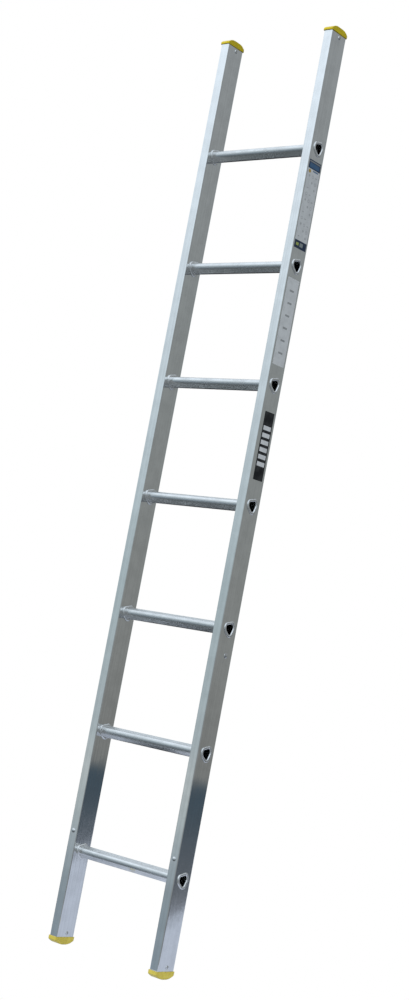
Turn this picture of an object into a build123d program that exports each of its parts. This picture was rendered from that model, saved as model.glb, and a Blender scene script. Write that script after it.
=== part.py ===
from build123d import *
import os
from math import cos, radians, tan

# Single-section aluminium leaning ladder, in millimetres.
# +X runs along the rungs to the climber's right, the climber stands on the -Y side,
# and +Z runs up the stiles. The origin is on the ground, midway between the feet.

# ---- Driving dimensions ----------------------------------------------------------
overall_width = 303.0  # across the outer faces of the stiles
rung_pitch = 254.0  # the traditional ten-inch step
rung_count = 7

stile_width = 21.0  # the narrow face that the climber sees
stile_depth = 51.0  # the broad face that carries the rungs
stile_wall = 1.6
stile_corner = 2.5
stile_length = 1956.0
first_rung_above_stile_end = 177.0

rung_back = 2.2  # the rungs sit this far behind the middle of the stiles
rung_tilt = 15.0  # brings the treads level when the ladder leans at 75 degrees
rung_top = 13.2  # tread above the middle of the rung
rung_half_width = 12.3  # at the widest point of the rounded nose
rung_nose_height = 5.4  # of that widest point above the middle of the rung
rung_nose_radius = 10.4
rung_edge_radius = 2.0  # where the nose meets the tread
rung_flank_angle = 36.0  # of each flank from the upright
rung_keel_radius = 6.2
rung_wall = 1.7
rung_fit_gap = 0.1  # between a rung and the hole that it is swaged into

groove_count = 6  # anti-slip grooves along the tread
groove_pitch = 2.7
groove_radius = 0.7

collar_grow = 4.5  # bead rolled against the stile's inner face
collar_thickness = 3.0
collar_round = 2.4
lip_grow = 4.3  # trumpet-shaped end that closes over the stile's outer face
lip_thickness = 2.2
lip_outer_round = 2.0
lip_mouth_round = 3.0

plug_overhang = 2.0  # of a foot or cap past the stile, all round
foot_height = 15.5  # from the stile's end to the crown
foot_edge_height = 6.8  # at the front and rear edges
foot_land = 6.0  # flat strip across the crown
foot_edge_round = 2.0
cap_height = 12.7
cap_edge_height = 3.4
cap_land = 16.0
cap_edge_round = 1.4
plug_corner = 3.5
spigot_length = 32.0
spigot_gap = 0.25  # to the stile's inner walls
spigot_wall = 2.4
spigot_corner = 1.5
spigot_taper = 1.2  # chamfer at the spigot's tip

cap_rivet_inset = 8.0  # from the stile's end
cap_rivet_back = 2.5
cap_rivet_head_radius = 4.2
cap_rivet_head_height = 1.6
cap_rivet_shank_radius = 2.0
cap_rivet_mandrel_radius = 1.1

front_rivet_above_rung = 43.0
front_rivet_head_radius = 4.6
front_rivet_head_height = 2.3
front_rivet_shank_radius = 2.4
side_rivet_below_rung = 51.5
side_rivet_back = 5.0
side_rivet_head_radius = 5.2
side_rivet_head_height = 1.7
side_rivet_shank_radius = 2.4
rivet_hole_gap = 0.05
rivet_tail = 3.5  # of a blind rivet behind the wall that it holds

label_thickness = 0.2
label_corner = 1.5
instruction_label = {"width": 40.0, "height": 190.0, "rung": 5, "above": 133.5}
data_label = {"width": 38.0, "height": 185.0, "rung": 4, "above": 136.5}
stripe_label = {"width": 30.8, "height": 143.0, "rung": 3, "above": 128.2}
stripe_label_back = 2.8  # the stripe label sits this far behind the middle

# ---- Places worked out from them -------------------------------------------------
half_width = overall_width / 2
stile_x = half_width - stile_width / 2
stile_inner_face = half_width - stile_width
stile_foot_z = foot_height
stile_top_z = stile_foot_z + stile_length
first_rung_z = stile_foot_z + first_rung_above_stile_end
rung_z = [first_rung_z + i * rung_pitch for i in range(rung_count)]
front_rivet_z = rung_z[0] + front_rivet_above_rung
side_rivet_z = rung_z[2] - side_rivet_below_rung
cavity_width = stile_width - 2 * stile_wall
cavity_depth = stile_depth - 2 * stile_wall
spigot_width = cavity_width - 2 * spigot_gap
spigot_depth = cavity_depth - 2 * spigot_gap
sides = {"left": -1, "right": 1}
ends = {"foot": (stile_foot_z, -1), "top_cap": (stile_top_z, 1)}
rung_centres = [(rung_back, z) for z in rung_z]

os.makedirs("parts", exist_ok=True)


def finish(piece, name):
    """Label a finished piece and write it to its own STEP file."""
    piece.part.label = name
    export_step(piece.part, f"parts/{name}.step")


def facing(x, y, z, direction):
    """A plane whose normal points in the given direction."""
    return Plane(origin=(x, y, z), z_dir=direction)


def rung_outline(grow=0.0, grooves=0):
    """The rung's shield-shaped section, tilted: local X is depth, local Y is height."""
    nose_depth = rung_half_width - rung_nose_radius
    crown = rung_nose_height + rung_nose_radius
    flank_reach = nose_depth + rung_nose_radius / cos(radians(rung_flank_angle))
    flank_slope = tan(radians(rung_flank_angle))
    corner_depth = flank_reach + rung_nose_radius * flank_slope
    with BuildSketch() as section:
        with BuildLine():
            Polyline(
                (-corner_depth, crown),
                (corner_depth, crown),
                (0, rung_nose_height - flank_reach / flank_slope),
                close=True,
            )
        make_face()
        fillet(section.vertices().sort_by(Axis.Y)[1:], rung_nose_radius)
        fillet(section.vertices().sort_by(Axis.Y)[0], rung_keel_radius)
        with Locations((0, rung_top)):
            Rectangle(2 * corner_depth, crown, align=(Align.CENTER, Align.MIN), mode=Mode.SUBTRACT)
        fillet(section.vertices().sort_by(Axis.Y)[-2:], rung_edge_radius)
        if grow:
            offset(amount=grow)
        if grooves:
            with Locations((0, rung_top)):
                with GridLocations(groove_pitch, 1, grooves, 1):
                    Circle(groove_radius, mode=Mode.SUBTRACT)
    with BuildSketch() as tilted:
        add(section.sketch, rotation=rung_tilt)
    return tilted.sketch


rung_section = rung_outline(grooves=groove_count)
rung_bore = rung_outline(-rung_wall)
rung_hole = rung_outline(rung_fit_gap)
rung_collar = rung_outline(collar_grow)
rung_lip = rung_outline(lip_grow)


# ---- Stiles: box extrusions, pierced for the rungs and the rivets -------------------
def cap_rivet_spots(side_sign):
    """Planes at a stile's two broad faces, at each end, facing out of the wall."""
    spots = {}
    for end, (end_z, z_sign) in ends.items():
        z = end_z - z_sign * cap_rivet_inset
        spots[end] = [
            facing(side_sign * half_width, cap_rivet_back, z, (side_sign, 0, 0)),
            facing(side_sign * stile_inner_face, cap_rivet_back, z, (-side_sign, 0, 0)),
        ]
    return spots


for side, sign in sides.items():
    with BuildPart() as stile:
        with BuildSketch(Plane.XY.offset(stile_foot_z)):
            with Locations((sign * stile_x, 0)):
                RectangleRounded(stile_width, stile_depth, stile_corner)
                RectangleRounded(cavity_width, cavity_depth, 0.4, mode=Mode.SUBTRACT)
        extrude(amount=stile_length)
        with BuildSketch(Plane.YZ.offset(sign * stile_x)):
            with Locations(*rung_centres):
                add(rung_hole)
        extrude(amount=stile_width, both=True, mode=Mode.SUBTRACT)
        for spots in cap_rivet_spots(sign).values():
            with Locations(*spots):
                Hole(cap_rivet_shank_radius + rivet_hole_gap, depth=2 * stile_wall)
        with Locations(facing(sign * stile_x, -stile_depth / 2, front_rivet_z, (0, -1, 0))):
            Hole(front_rivet_shank_radius + rivet_hole_gap, depth=2 * stile_wall)
        with Locations(facing(sign * half_width, side_rivet_back, side_rivet_z, (sign, 0, 0))):
            Hole(side_rivet_shank_radius + rivet_hole_gap, depth=2 * stile_wall)
    finish(stile, f"{side}_stile")


# ---- Rungs: tubes swaged into both stiles ------------------------------------------
tube_end = half_width + lip_thickness
tube_length = 2 * tube_end
collar_face = stile_inner_face - collar_thickness
rolled_rings = [
    (rung_collar, -stile_inner_face, collar_thickness),
    (rung_collar, collar_face, collar_thickness),
    (rung_lip, -tube_end, lip_thickness),
    (rung_lip, half_width, lip_thickness),
]


def rim_edges(piece, x, which):
    """The outer or the inner edge loop of the piece's largest face square to X at the given X."""
    face = piece.faces().filter_by(Axis.X).filter_by_position(Axis.X, x - 0.01, x + 0.01)
    face = face.sort_by(SortBy.AREA)[-1]
    wire = face.outer_wire() if which == "outer" else face.inner_wires()[0]
    return wire.edges()


for i, (y, z) in enumerate(rung_centres):
    with BuildPart() as rung:
        with BuildSketch(Plane.YZ.offset(-tube_end)):
            with Locations((y, z)):
                add(rung_section)
        extrude(amount=tube_length)
        for outline, x, thickness in rolled_rings:
            with BuildSketch(Plane.YZ.offset(x)):
                with Locations((y, z)):
                    add(outline)
            extrude(amount=thickness)
        with BuildSketch(Plane.YZ.offset(-tube_end)):
            with Locations((y, z)):
                add(rung_bore)
        extrude(amount=tube_length, mode=Mode.SUBTRACT)
        for sign in sides.values():
            fillet(rim_edges(rung, sign * tube_end, "outer"), lip_outer_round)
            fillet(rim_edges(rung, sign * tube_end, "inner"), lip_mouth_round)
            fillet(rim_edges(rung, sign * collar_face, "outer"), collar_round)
    finish(rung, f"rung_{i + 1}")


# ---- Feet and top caps: domed plastic plugs with hollow spigots --------------------
def end_plug(height, edge_height, land, edge_round, rivet_y):
    """One plug, made with its dome up and the stile's end face at Z = 0."""
    half_depth = stile_depth / 2 + plug_overhang
    half_land = land / 2
    with BuildPart() as plug:
        with BuildSketch(Plane.YZ):
            with BuildLine():
                Polyline(
                    (-half_depth, edge_height),
                    (-half_depth, 0),
                    (half_depth, 0),
                    (half_depth, edge_height),
                )
                TangentArc((half_land, height), (half_depth, edge_height), tangent=(1, 0))
                Line((half_land, height), (-half_land, height))
                TangentArc((-half_land, height), (-half_depth, edge_height), tangent=(-1, 0))
            make_face()
        extrude(amount=stile_width / 2 + plug_overhang, both=True)
        fillet(plug.edges().filter_by(Axis.Z), plug_corner)
        dome_rim = [e for e in plug.edges() if e.center().Z > edge_height - 1 and not is_across(e)]
        fillet(dome_rim, edge_round)
        with BuildSketch(Plane.XY):
            RectangleRounded(spigot_width, spigot_depth, spigot_corner)
        extrude(amount=-spigot_length)
        chamfer(plug.faces().sort_by(Axis.Z)[0].outer_wire().edges(), spigot_taper)
        with BuildSketch(Plane.XY.offset(-spigot_length)):
            RectangleRounded(spigot_width - 2 * spigot_wall, spigot_depth - 2 * spigot_wall, spigot_corner)
        extrude(amount=spigot_length, mode=Mode.SUBTRACT)
        with Locations(Plane((0, rivet_y, -cap_rivet_inset), z_dir=(1, 0, 0))):
            Cylinder(cap_rivet_shank_radius + rivet_hole_gap, stile_width, mode=Mode.SUBTRACT)
    return plug.part


def is_across(edge):
    """True for a straight edge that crosses the crown along X."""
    return edge.geom_type == GeomType.LINE and abs(edge.tangent_at(0).X) > 0.99 and edge.length > 5


plug_shapes = {
    "foot": end_plug(foot_height, foot_edge_height, foot_land, foot_edge_round, -cap_rivet_back),
    "top_cap": end_plug(cap_height, cap_edge_height, cap_land, cap_edge_round, cap_rivet_back),
}
for end, (z, z_sign) in ends.items():
    for side, sign in sides.items():
        dome_direction = (0, 0, z_sign)
        with BuildPart(Plane((sign * stile_x, 0, z), x_dir=(1, 0, 0), z_dir=dome_direction)) as plug:
            add(plug_shapes[end])
        finish(plug, f"{end}_{side}")


# ---- Rivets --------------------------------------------------------------------------
def rivet(head_radius, head_height, shank_radius, shank_length, mandrel_radius=0.0):
    """A round-headed rivet seated at Z = 0 with its head towards +Z."""
    with BuildPart() as body:
        with BuildSketch(Plane.XZ):
            with BuildLine():
                Polyline(
                    (mandrel_radius, head_height),
                    (mandrel_radius, -shank_length),
                    (shank_radius, -shank_length),
                    (shank_radius, 0),
                    (head_radius, 0),
                    (head_radius, 0.25 * head_height),
                )
                RadiusArc(
                    (head_radius, 0.25 * head_height),
                    (mandrel_radius, head_height),
                    -dome_radius(head_radius - mandrel_radius, 0.75 * head_height),
                )
            make_face()
        revolve(axis=Axis.Z)
    return body.part


def dome_radius(half_chord, rise):
    """Radius of the arc that leaves the crown level and falls by rise over half a chord."""
    return (half_chord**2 + rise**2) / (2 * rise)


cap_rivet = rivet(
    cap_rivet_head_radius,
    cap_rivet_head_height,
    cap_rivet_shank_radius,
    stile_wall + spigot_gap + spigot_wall,
    cap_rivet_mandrel_radius,
)
front_rivet = rivet(
    front_rivet_head_radius, front_rivet_head_height, front_rivet_shank_radius, stile_wall + rivet_tail
)
side_rivet = rivet(
    side_rivet_head_radius, side_rivet_head_height, side_rivet_shank_radius, stile_wall + rivet_tail
)

for side, sign in sides.items():
    for end, spots in cap_rivet_spots(sign).items():
        with BuildPart() as rivets:
            with Locations(*spots):
                add(cap_rivet)
        finish(rivets, f"{end}_rivets_{side}")
    with BuildPart(facing(sign * stile_x, -stile_depth / 2, front_rivet_z, (0, -1, 0))) as rivets:
        add(front_rivet)
    finish(rivets, f"front_rivet_{side}")
    with BuildPart(facing(sign * half_width, side_rivet_back, side_rivet_z, (sign, 0, 0))) as rivets:
        add(side_rivet)
    finish(rivets, f"side_rivet_{side}")


# ---- Labels: thin skins on the right stile's outer face ------------------------------
def stile_label(size, name, back=0.0):
    """A rounded label, centred above the rung with the given index."""
    middle = rung_z[size["rung"]] + size["above"]
    with BuildPart() as label:
        with BuildSketch(Plane.YZ.offset(half_width)):
            with Locations((back, middle)):
                RectangleRounded(size["width"], size["height"], label_corner)
        extrude(amount=label_thickness)
    finish(label, name)


stile_label(instruction_label, "instruction_label")
stile_label(data_label, "data_label")
stile_label(stripe_label, "stripe_label", stripe_label_back)
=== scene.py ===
import math

import bmesh
import bpy
from mathutils import Matrix, Vector


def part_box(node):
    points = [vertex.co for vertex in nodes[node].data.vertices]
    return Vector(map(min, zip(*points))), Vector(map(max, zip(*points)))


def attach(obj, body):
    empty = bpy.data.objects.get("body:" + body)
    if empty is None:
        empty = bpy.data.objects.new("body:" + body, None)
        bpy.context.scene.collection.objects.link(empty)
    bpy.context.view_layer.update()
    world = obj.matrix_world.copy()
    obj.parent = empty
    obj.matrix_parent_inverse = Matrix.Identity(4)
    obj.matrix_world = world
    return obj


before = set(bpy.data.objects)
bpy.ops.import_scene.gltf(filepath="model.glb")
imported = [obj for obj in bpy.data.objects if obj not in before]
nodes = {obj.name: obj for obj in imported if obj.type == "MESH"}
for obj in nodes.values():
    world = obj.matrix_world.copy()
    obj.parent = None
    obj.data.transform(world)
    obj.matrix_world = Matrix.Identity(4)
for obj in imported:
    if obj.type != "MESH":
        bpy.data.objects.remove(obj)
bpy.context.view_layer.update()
MM = 0.001  # lengths are in metres unless they say otherwise

# ---- Camera -------------------------------------------------------------------------
# The ladder is seen leaning back by LEAN. It stands upright here, so the camera leans instead.
LEAN = math.radians(16.39)
HEADING = math.radians(40.77)
PITCH = math.radians(-6.43)
AIM = Vector((0.0235, 0.0, 0.9604))  # the middle of the view
DISTANCE = 3.466  # from the camera to AIM
SENSOR_MM = 36.0
LENS_MM = 59.8

# ---- Surroundings, as linear light levels -------------------------------------------
BACKDROP = (1.0, 1.0, 1.0)
# What a reflected ray meets, by the upward part of its unit direction, lowest first. The stiles'
# narrow faces mirror what is in front, and their broad faces what is behind.
IN_FRONT = [
    (-0.60, (0.10, 0.115, 0.12)),
    (-0.20, (0.27, 0.335, 0.40)),
    (-0.128, (0.30, 0.36, 0.40)),
    (-0.108, (0.39, 0.45, 0.49)),
    (-0.088, (0.465, 0.53, 0.55)),
    (-0.062, (0.55, 0.60, 0.61)),
    (-0.042, (0.47, 0.54, 0.57)),
    (0.05, (0.46, 0.55, 0.585)),
    (0.36, (0.98, 1.085, 1.19)),
]
BEHIND = [
    (-0.130, (0.125, 0.137, 0.155)),
    (-0.0635, (0.052, 0.083, 0.112)),
    (-0.0600, (0.230, 0.235, 0.229)),
    (0.02, (0.262, 0.272, 0.266)),
    (0.20, (0.285, 0.305, 0.305)),
    (0.36, (0.320, 0.340, 0.350)),
]
OVERHEAD = (0.87, 0.96, 1.05)
HIGH_BEHIND = (0.55, 0.60, 0.65)
LOW_RIGHT_FRONT = (0.27, 0.29, 0.30)
UNDER_THE_RUNGS = (0.01, 0.01, 0.012)
FLOOR_REFLECTED = (0.545, 0.60, 0.71)
# The floor sheet's corners on the ground, in metres. The lowest part of each broad face mirrors it.
FLOOR_CORNERS = [(-0.36, -0.06), (0.285, -0.12), (1.76, 2.60), (0.60, 3.20)]

# ---- Colours --------------------------------------------------------------------------
ALUMINIUM = (0.80, 0.815, 0.82)
RUNG_ALUMINIUM = (0.83, 0.84, 0.845)
RUBBED_METAL = (0.93, 0.94, 0.95)
RIVET_METAL = (0.72, 0.73, 0.74)
STEEL = (0.30, 0.29, 0.28)
PITTED_STEEL = (0.16, 0.15, 0.14)
YELLOW = (0.66, 0.51, 0.004)
# Painted light: the feet get this paler yellow, so they look better lit than the caps.
LIT_FEET_YELLOW = (0.78, 0.62, 0.10)
DULL_YELLOW = (0.38, 0.28, 0.01)
GRIME = (0.07, 0.06, 0.045)
FILM_GREY = (0.72, 0.735, 0.755)
FILM_WHITE = (0.78, 0.79, 0.81)
SMEAR_GREY = (0.20, 0.20, 0.20)
PRINT_BLACK = (0.003, 0.004, 0.007)
NAVY = (0.012, 0.03, 0.075)
BLUE = (0.05, 0.13, 0.26)
MARK_BLUE = (0.16, 0.24, 0.36)
MARK_GREY = (0.30, 0.31, 0.32)
MARK_ORANGE = (0.50, 0.34, 0.09)
MARK_GREEN = (0.40, 0.46, 0.12)
STRIP_GREY = (0.26, 0.28, 0.30)
PANEL_GREY = (0.27, 0.31, 0.32)


class Graph:
    """Short calls for writing one material's or the world's node tree."""

    MIX_FIRST, MIX_SECOND = 6, 7  # a Mix node's two colour inputs, which share names with others

    def __init__(self, tree):
        self.tree = tree
        tree.nodes.clear()

    def add(self, kind, inputs=None, **settings):
        """A node with some properties set and some inputs filled in or joined to sockets."""
        node = self.tree.nodes.new(kind)
        for name, value in settings.items():
            setattr(node, name, value)
        for name, value in (inputs or {}).items():
            self.fill(node.inputs[name], value)
        return node

    def fill(self, socket, value):
        """Put a number or a colour on a socket, or join another socket to it."""
        if isinstance(value, bpy.types.NodeSocket):
            self.tree.links.new(value, socket)
        elif isinstance(value, tuple) and socket.type == "RGBA":
            socket.default_value = (*value, 1.0)
        else:
            socket.default_value = value

    def math(self, operation, *values):
        node = self.add("ShaderNodeMath", operation=operation)
        for socket, value in zip(node.inputs, values):
            self.fill(socket, value)
        return node.outputs["Value"]

    def times(self, first, second):
        return self.math("MULTIPLY", first, second)

    def mix(self, factor, first, second):
        """A colour between two others."""
        node = self.add("ShaderNodeMix", data_type="RGBA")
        self.fill(node.inputs["Factor"], factor)
        self.fill(node.inputs[self.MIX_FIRST], first)
        self.fill(node.inputs[self.MIX_SECOND], second)
        return next(socket for socket in node.outputs if socket.type == "RGBA")

    def ramp(self, value, low, high, to_low=0.0, to_high=1.0, smooth=True):
        """value carried from one range to another, and held at the ends."""
        node = self.add(
            "ShaderNodeMapRange",
            {"Value": value, "From Min": low, "From Max": high, "To Min": to_low, "To Max": to_high},
            interpolation_type="SMOOTHSTEP" if smooth else "LINEAR",
        )
        return node.outputs["Result"]

    def stops(self, value, colours):
        """A colour that changes with value, from a list of (value, colour)."""
        low, high = colours[0][0], colours[-1][0]
        node = self.add("ShaderNodeValToRGB", {"Fac": self.ramp(value, low, high, smooth=False)})
        scale = node.color_ramp
        while len(scale.elements) < len(colours):
            scale.elements.new(0.5)
        for element, (place, colour) in zip(scale.elements, colours):
            element.position = (place - low) / (high - low)
            element.color = (*colour, 1.0)
        return node.outputs["Color"]

    def place(self):
        """Where a point is in the frame, in metres."""
        return self.add("ShaderNodeTexCoord").outputs["Object"]

    def noise(self, scale, detail=3.0, roughness=0.55, turn=(0.0, 0.0, 0.0)):
        """Noise with one scale, or a scale for each axis, which may be turned afterwards."""
        inputs = {"Vector": self.place(), "Scale": 1.0, "Detail": detail, "Roughness": roughness}
        if isinstance(scale, tuple):
            mapping = {"Vector": inputs["Vector"], "Scale": scale, "Rotation": turn}
            inputs["Vector"] = self.add("ShaderNodeMapping", mapping).outputs["Vector"]
        else:
            inputs["Scale"] = scale
        return self.add("ShaderNodeTexNoise", inputs).outputs["Fac"]

    def bump(self, height, distance, below=None):
        """Relief of one distance from low to high, on top of the relief below."""
        node = self.add("ShaderNodeBump", {"Height": height, "Distance": distance, "Strength": 1.0})
        if below is not None:
            self.fill(node.inputs["Normal"], below)
        return node.outputs["Normal"]

    def surface(self, **inputs):
        """A Principled shader joined to the output. Inputs are named with _ for a space."""
        named = {name.replace("_", " "): value for name, value in inputs.items()}
        shader = self.add("ShaderNodeBsdfPrincipled", named)
        self.add("ShaderNodeOutputMaterial", {"Surface": shader.outputs["BSDF"]})


def new_material(name):
    material = bpy.data.materials.new(name)
    material.use_nodes = True
    return material, Graph(material.node_tree)


# ---- Metal ------------------------------------------------------------------------------
def lengthwise(axis, along, across):
    """Scales that stretch a pattern along one axis."""
    return tuple(along if name == axis else across for name in "XYZ")


def extruded_aluminium(name, colour, axis, roughness, wear):
    """Mill-finish metal: die lines along its length, dull patches, and rubbed scuffs."""
    material, g = new_material(name)
    fine_lines = g.noise(lengthwise(axis, 1.2, 1500.0), detail=2.0)
    broad_lines = g.noise(lengthwise(axis, 0.5, 260.0))
    patches = g.noise(34.0, detail=5.0, roughness=0.62)
    cloud = g.noise(7.0, detail=2.0)
    scratches = g.noise(lengthwise(axis, 9.0, 700.0), detail=1.0, turn=(0.25, 0.18, 0.32))
    scuffed = g.times(g.ramp(scratches, 0.70, 0.78), g.ramp(patches, 0.52, 0.66))
    dull = g.math("ADD", g.times(patches, 0.55), g.times(broad_lines, 0.45))
    dull = g.ramp(dull, 0.36, 0.64)

    tone = g.mix(dull, colour, tuple(0.88 * c for c in colour))
    tone = g.mix(g.times(scuffed, wear), tone, RUBBED_METAL)
    shine = g.ramp(dull, 0.0, 1.0, 0.75 * roughness, 1.15 * roughness)
    shine = g.math("ADD", shine, g.times(g.ramp(cloud, 0.4, 0.7), 0.15 * roughness))
    shine = g.math("ADD", shine, g.times(scuffed, 0.10))
    relief = g.bump(broad_lines, 0.05 * MM)
    relief = g.bump(fine_lines, 0.006 * MM, below=relief)
    relief = g.bump(scuffed, 0.02 * MM, below=relief)
    tangent = g.add("ShaderNodeTangent", direction_type="RADIAL", axis=axis)
    g.surface(
        Base_Color=tone,
        Metallic=1.0,
        Roughness=shine,
        Anisotropic=0.97,
        Tangent=tangent.outputs["Tangent"],
        Normal=relief,
    )
    return material


def rivet_metal():
    """Set rivet heads: a faint hammered skin, dark where dirt stays."""
    material, g = new_material("rivet_metal")
    skin = g.noise(900.0)
    dirt = g.ramp(g.noise(260.0, detail=4.0), 0.52, 0.72)
    g.surface(
        Base_Color=g.mix(dirt, RIVET_METAL, tuple(0.6 * c for c in RIVET_METAL)),
        Metallic=1.0,
        Roughness=g.ramp(dirt, 0.0, 1.0, 0.22, 0.42),
        Normal=g.bump(skin, 0.03 * MM),
    )
    return material


def mandrel_steel():
    """Broken steel: dark, pitted and only half shiny."""
    material, g = new_material("mandrel_steel")
    pitted = g.noise(1800.0, detail=4.0)
    g.surface(
        Base_Color=g.mix(pitted, STEEL, PITTED_STEEL),
        Metallic=1.0,
        Roughness=g.ramp(pitted, 0.3, 0.7, 0.32, 0.55),
        Normal=g.bump(pitted, 0.05 * MM),
    )
    return material


# ---- Yellow plastic ----------------------------------------------------------------------
def moulded_plastic():
    """Moulded polypropylene: a fine grain, uneven dye, feet painted paler as painted light, and dirt on
    the soles.
    """
    material, g = new_material("yellow_plastic")
    height = g.add("ShaderNodeSeparateXYZ", {"Vector": g.place()}).outputs["Z"]
    grain = g.noise(2600.0, detail=2.0)
    dye = g.noise(90.0, detail=4.0)
    grime = g.noise(230.0, detail=5.0, roughness=0.65)
    near_ground = g.ramp(height, 0.0, 4 * MM, 1.0, 0.0)
    dirty = g.times(g.ramp(grime, 0.42, 0.62), near_ground)
    # Painted light: the yellow turns paler below half a metre, so the feet look better lit than the caps.
    tone = g.mix(g.ramp(height, 0.5, 0.1), YELLOW, LIT_FEET_YELLOW)
    tone = g.mix(g.times(g.ramp(dye, 0.35, 0.65), 0.25), tone, DULL_YELLOW)
    tone = g.mix(g.times(dirty, 0.65), tone, GRIME)
    g.surface(
        Base_Color=tone,
        Roughness=g.ramp(grime, 0.35, 0.65, 0.30, 0.44),
        Normal=g.bump(grain, 0.03 * MM),
        Subsurface_Weight=0.08,
        Subsurface_Radius=(1.2 * MM, 0.9 * MM, 0.2 * MM),
        Subsurface_Scale=1.0,
        Specular_IOR_Level=0.28,
    )
    return material


# ---- Printed labels ------------------------------------------------------------------------
class Print:
    """Marks on a label, placed in millimetres from its middle: u towards the rear, v up."""

    SOFT = 0.25  # how far an inked edge spreads

    def __init__(self, g, node):
        low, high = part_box(node)
        middle = (low + high) / 2
        self.half_width = (high.y - low.y) / 2 / MM
        self.half_height = (high.z - low.z) / 2 / MM
        split = g.add("ShaderNodeSeparateXYZ", {"Vector": g.place()})
        self.g = g
        self.u = self.from_middle(split.outputs["Y"], middle.y)
        self.v = self.from_middle(split.outputs["Z"], middle.z)

    def from_middle(self, value, middle):
        return self.g.times(self.g.math("SUBTRACT", value, middle), 1 / MM)

    def within(self, distance, reach):
        """1 where a distance is under reach, 0 beyond, with a slightly soft edge."""
        return self.g.ramp(distance, reach - self.SOFT, reach + self.SOFT, 1.0, 0.0)

    def band(self, value, middle, half):
        off = self.g.math("ABSOLUTE", self.g.math("SUBTRACT", value, middle))
        return self.within(off, half)

    def block(self, u, v, width, height):
        """A rectangle."""
        return self.g.times(self.band(self.u, u, width / 2), self.band(self.v, v, height / 2))

    def ring(self, u, v, radius, line):
        along = self.g.math("SUBTRACT", self.u, u)
        up = self.g.math("SUBTRACT", self.v, v)
        square = self.g.math("ADD", self.g.math("POWER", along, 2.0), self.g.math("POWER", up, 2.0))
        distance = self.g.math("SQRT", square)
        return self.band(distance, radius, line / 2)

    def disc(self, u, v, radius):
        return self.ring(u, v, 0.0, 2 * radius)

    def together(self, *masks):
        """All the masks as one."""
        total = masks[0]
        for mask in masks[1:]:
            total = self.g.math("MAXIMUM", total, mask)
        return total


def printed_film(g, tone, metallic=0.35):
    """The film under the ink: faint wrinkles, fingermarks and a soft gloss."""
    wrinkle = g.noise((1.0, 60.0, 25.0))
    smear = g.noise(60.0, detail=5.0)
    smeared = g.mix(0.14, tone, SMEAR_GREY)
    g.surface(
        Base_Color=g.mix(g.ramp(smear, 0.38, 0.66), tone, smeared),
        Metallic=metallic,
        Roughness=g.ramp(smear, 0.35, 0.65, 0.30, 0.42),
        Normal=g.bump(wrinkle, 0.04 * MM),
        Coat_Weight=0.1,
        Coat_Roughness=0.18,
        Specular_IOR_Level=0.3,
    )


def instruction_film():
    """Grey film with a grid of little plain dots, rings and bars between two dark blue bands."""
    material, g = new_material("instruction_film")
    p = Print(g, "instruction_label")
    top, width = p.half_height, 2 * p.half_width
    cell_width, cell_height = 11.5, 13.0
    columns, rows = 3, 11
    first_row = top - 34.0
    header, footer = 19.0, 17.0  # heights of the two bands

    marks = []
    for row in range(rows):
        v = first_row - row * cell_height
        for column in range(columns):
            u = (column - (columns - 1) / 2) * cell_width
            kind = (row * columns + column) % 4
            if kind == 0:
                marks.append(p.disc(u, v, 2.6))
            elif kind == 1:
                marks.append(p.ring(u, v, 2.8, 1.3))
            elif kind == 2:
                marks.append(p.block(u, v, 6.0, 2.2))
    tone = g.mix(g.times(p.together(*marks), 0.5), FILM_GREY, MARK_GREY)
    tone = g.mix(p.disc(-p.half_width + 6.5, top - 24.5, 4.0), tone, MARK_ORANGE)
    tone = g.mix(p.block(6.0, top - 22.0, 18.0, 3.0), tone, MARK_BLUE)

    tone = g.mix(p.block(0.0, top - header / 2, width, header), tone, NAVY)
    tone = g.mix(p.block(0.0, footer / 2 - top, width, footer), tone, NAVY)
    tone = g.mix(p.block(0.0, top - 3.6, width - 3.0, 3.0), tone, STRIP_GREY)
    tone = g.mix(p.block(0.0, top - 11.6, width - 7.0, 10.0), tone, BLUE)
    tone = g.mix(p.block(-10.5, 9.0 - top, 9.0, 6.0), tone, MARK_GREEN)
    tone = g.mix(p.block(3.0, 9.0 - top, 11.0, 8.0), tone, PANEL_GREY)
    printed_film(g, tone)
    return material


def silver_film():
    """Silver film with a column of plain equal bars, evenly spaced over its height."""
    material, g = new_material("silver_film")
    p = Print(g, "data_label")
    bar_count, bar_width, bar_height = 6, 14.0, 4.0
    pitch = 2 * p.half_height / (bar_count + 1)
    bars = [p.block(0.0, p.half_height - (i + 1) * pitch, bar_width, bar_height) for i in range(bar_count)]
    marks = g.times(p.together(*bars), 0.85)
    tone = g.mix(marks, tuple(1.06 * c for c in FILM_GREY), MARK_GREY)
    printed_film(g, tone)
    return material


def stripe_film():
    """Black film crossed by plain equal light stripes, evenly spaced about its middle."""
    material, g = new_material("stripe_film")
    p = Print(g, "stripe_label")
    stripe_count, stripe_height, pitch, margin = 6, 9.0, 15.0, 3.0
    width = 2 * (p.half_width - margin)
    places = [(i - (stripe_count - 1) / 2) * pitch for i in range(stripe_count)]
    stripes = [p.block(0.0, v, width, stripe_height) for v in places]
    tone = g.mix(p.together(*stripes), PRINT_BLACK, FILM_WHITE)
    printed_film(g, tone, metallic=0.2)
    return material


# ---- Finishes on the CAD pieces -------------------------------------------------------------
def dress(beginnings, material):
    """Give a finish to every CAD node whose name begins in one of these ways."""
    for name, piece in nodes.items():
        if name.startswith(beginnings):
            if not piece.material_slots:
                piece.data.materials.append(material)
            for slot in piece.material_slots:
                slot.material = material


def dress_all():
    stile_metal = extruded_aluminium("stile_aluminium", ALUMINIUM, "Z", roughness=0.085, wear=0.35)
    rung_metal = extruded_aluminium("rung_aluminium", RUNG_ALUMINIUM, "X", roughness=0.22, wear=0.25)
    dress(("left_stile", "right_stile"), stile_metal)
    dress(("rung_",), rung_metal)
    dress(("foot_rivets", "top_cap_rivets", "front_rivet", "side_rivet"), rivet_metal())
    dress(("foot_left", "foot_right", "top_cap_left", "top_cap_right"), moulded_plastic())
    dress(("instruction_label",), instruction_film())
    dress(("data_label",), silver_film())
    dress(("stripe_label",), stripe_film())


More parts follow.
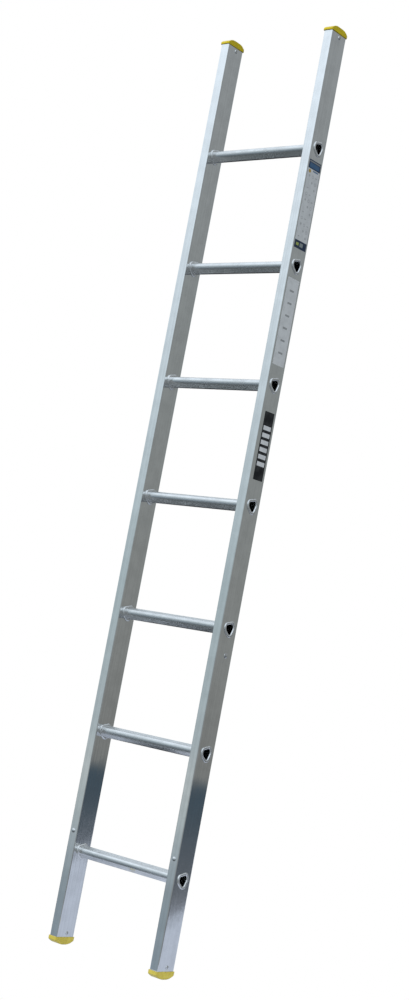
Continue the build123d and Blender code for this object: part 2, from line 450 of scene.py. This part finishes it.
# ---- Mandrel stubs left in the blind rivets ---------------------------------------------------
MANDREL_RADIUS = 1.0 * MM
MANDREL_RECESS = 0.7 * MM  # from the rivet's crown to the stub's end
MANDREL_LENGTH = 4.0 * MM
MANDREL_SIDES = 24


def lathe(name, profile, sides):
    """A mesh turned round Z from (radius, height) points, closed where the radius is zero."""
    mesh = bpy.data.meshes.new(name)
    made = bmesh.new()
    rings = []
    for radius, height in profile:
        if radius == 0:
            rings.append([made.verts.new((0, 0, height))] * sides)
            continue
        angles = [math.tau * i / sides for i in range(sides)]
        round_places = [(radius * math.cos(a), radius * math.sin(a), height) for a in angles]
        rings.append([made.verts.new(place) for place in round_places])
    for lower, upper in zip(rings, rings[1:]):
        for i in range(sides):
            corners = [lower[i], lower[(i + 1) % sides], upper[(i + 1) % sides], upper[i]]
            made.faces.new(list(dict.fromkeys(corners)))  # a triangle where a ring is one point
    bmesh.ops.recalc_face_normals(made, faces=made.faces)
    made.to_mesh(mesh)
    made.free()
    for face in mesh.polygons:
        face.use_smooth = True
    return mesh


def mandrel_mesh():
    """A snapped-off rivet stem: a rough crater on top of a plain pin."""
    r = MANDREL_RADIUS
    profile = [
        (0.0, -MANDREL_LENGTH),
        (r, -MANDREL_LENGTH),
        (r, -0.15 * MM),
        (0.8 * r, 0.0),
        (0.45 * r, 0.12 * MM),
        (0.0, -0.1 * MM),
    ]
    return lathe("mandrel", profile, MANDREL_SIDES)


def add_mandrels():
    """One stub in each rivet of each end fitting, seated below the rivet's crown."""
    mesh = mandrel_mesh()
    mesh.materials.append(mandrel_steel())
    for end in ("foot", "top_cap"):
        for side in ("left", "right"):
            low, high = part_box(f"{end}_rivets_{side}")
            middle = (low + high) / 2
            for place, x, outwards in (("outer", high.x, 1), ("inner", low.x, -1)):
                piece = bpy.data.objects.new(f"mandrel_{end}_{side}_{place}", mesh.copy())
                seat = Vector((x - outwards * MANDREL_RECESS, middle.y, middle.z))
                turn = Matrix.Rotation(outwards * math.radians(90), 4, "Y")
                piece.matrix_world = Matrix.Translation(seat) @ turn
                bpy.context.scene.collection.objects.link(piece)
                bpy.context.view_layer.update()
                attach(piece, "root")


# ---- Studio ------------------------------------------------------------------------------------
def add_world():
    """White to the camera. To reflected rays, surroundings that change with their direction."""
    world = bpy.data.worlds.new("studio")
    world.use_nodes = True
    g = Graph(world.node_tree)
    direction = g.add("ShaderNodeTexCoord").outputs["Generated"]
    split = g.add("ShaderNodeSeparateXYZ", {"Vector": direction})
    x, y, z = (split.outputs[axis] for axis in "XYZ")
    frontness = g.ramp(y, 0.35, -0.25)
    leftness = g.ramp(x, 0.1, -0.3)

    # Above the foot of the wall, the left is as bright as the front.
    open_side = g.math("MAXIMUM", g.ramp(x, 0.15, -0.25), frontness)
    bright_side = g.mix(g.ramp(z, -0.08, -0.06), frontness, open_side)
    around = g.mix(bright_side, g.stops(z, BEHIND), g.stops(z, IN_FRONT))

    # High behind on the left, where the treads look.
    behind_left = g.times(leftness, g.ramp(y, 0.1, 0.45))
    around = g.mix(g.times(behind_left, g.ramp(z, 0.2, 0.5)), around, HIGH_BEHIND)

    # The ceiling, which reaches further down in front.
    ceiling_in_front = g.times(frontness, g.ramp(z, 0.45, 0.75))
    ceiling = g.math("MAXIMUM", ceiling_in_front, g.ramp(z, 0.70, 0.90))
    around = g.mix(ceiling, around, OVERHEAD)

    # Low down: the side the camera is on, and the gap that the rungs' flanks look into.
    right_front = g.times(g.ramp(x, 0.1, 0.5), frontness)
    around = g.mix(g.times(right_front, g.ramp(z, 0.15, -0.02)), around, LOW_RIGHT_FRONT)
    below_left = g.times(leftness, g.ramp(y, -0.2, 0.3))
    around = g.mix(g.times(below_left, g.ramp(z, -0.055, -0.065)), around, UNDER_THE_RUNGS)

    seen = g.add("ShaderNodeLightPath").outputs["Is Camera Ray"]
    background = g.add("ShaderNodeBackground", {"Color": g.mix(seen, around, BACKDROP), "Strength": 1.0})
    g.add("ShaderNodeOutputWorld", {"Surface": background.outputs["Background"]})
    bpy.context.scene.world = world


def add_floor():
    """A pale sheet under the ladder: white to the camera like the backdrop, bluish in reflections."""
    mesh = bpy.data.meshes.new("floor")
    mesh.from_pydata([(x, y, 0) for x, y in FLOOR_CORNERS], [], [(0, 1, 2, 3)])
    floor = bpy.data.objects.new("floor", mesh)
    material, g = new_material("floor_paper")
    seen = g.add("ShaderNodeLightPath").outputs["Is Camera Ray"]
    shown = g.mix(seen, FLOOR_REFLECTED, BACKDROP)
    glow = g.add("ShaderNodeEmission", {"Color": shown, "Strength": 1.0})
    g.add("ShaderNodeOutputMaterial", {"Surface": glow.outputs["Emission"]})
    mesh.materials.append(material)
    bpy.context.scene.collection.objects.link(floor)


def add_softbox(name, place, size, power, colour):
    """A square area light aimed at the middle of the ladder, and not mirrored in the metal."""
    data = bpy.data.lights.new(name, "AREA")
    data.size = size
    data.energy = power
    data.color = colour
    lamp = bpy.data.objects.new(name, data)
    lamp.location = place
    lamp.visible_glossy = False
    ladder_middle = Vector((0, 0, 1.0))
    lamp.rotation_euler = (ladder_middle - Vector(place)).to_track_quat("-Z", "Y").to_euler()
    bpy.context.scene.collection.objects.link(lamp)


def add_camera():
    """Aimed in the leaning ladder's own frame, so the lean is the last turn applied."""
    turn = (
        Matrix.Rotation(LEAN, 4, "X")
        @ Matrix.Rotation(HEADING, 4, "Z")
        @ Matrix.Rotation(math.radians(90) + PITCH, 4, "X")  # a camera's rest points it straight down
    )
    data = bpy.data.cameras.new("camera")
    data.lens = LENS_MM
    data.sensor_width = SENSOR_MM
    data.clip_end = 50.0
    camera = bpy.data.objects.new("camera", data)
    backwards = turn.to_3x3() @ Vector((0, 0, 1))
    camera.matrix_world = Matrix.Translation(AIM + DISTANCE * backwards) @ turn
    bpy.context.scene.collection.objects.link(camera)
    bpy.context.scene.camera = camera


dress_all()
add_mandrels()
add_world()
add_floor()
add_softbox("key", (-1.6, -2.2, 3.4), 1.4, 62.0, (1.0, 0.98, 0.95))
add_softbox("fill", (2.5, 0.3, 1.2), 1.6, 9.0, (1.0, 1.0, 0.97))
add_camera()
bpy.context.scene.view_settings.view_transform = "Standard"
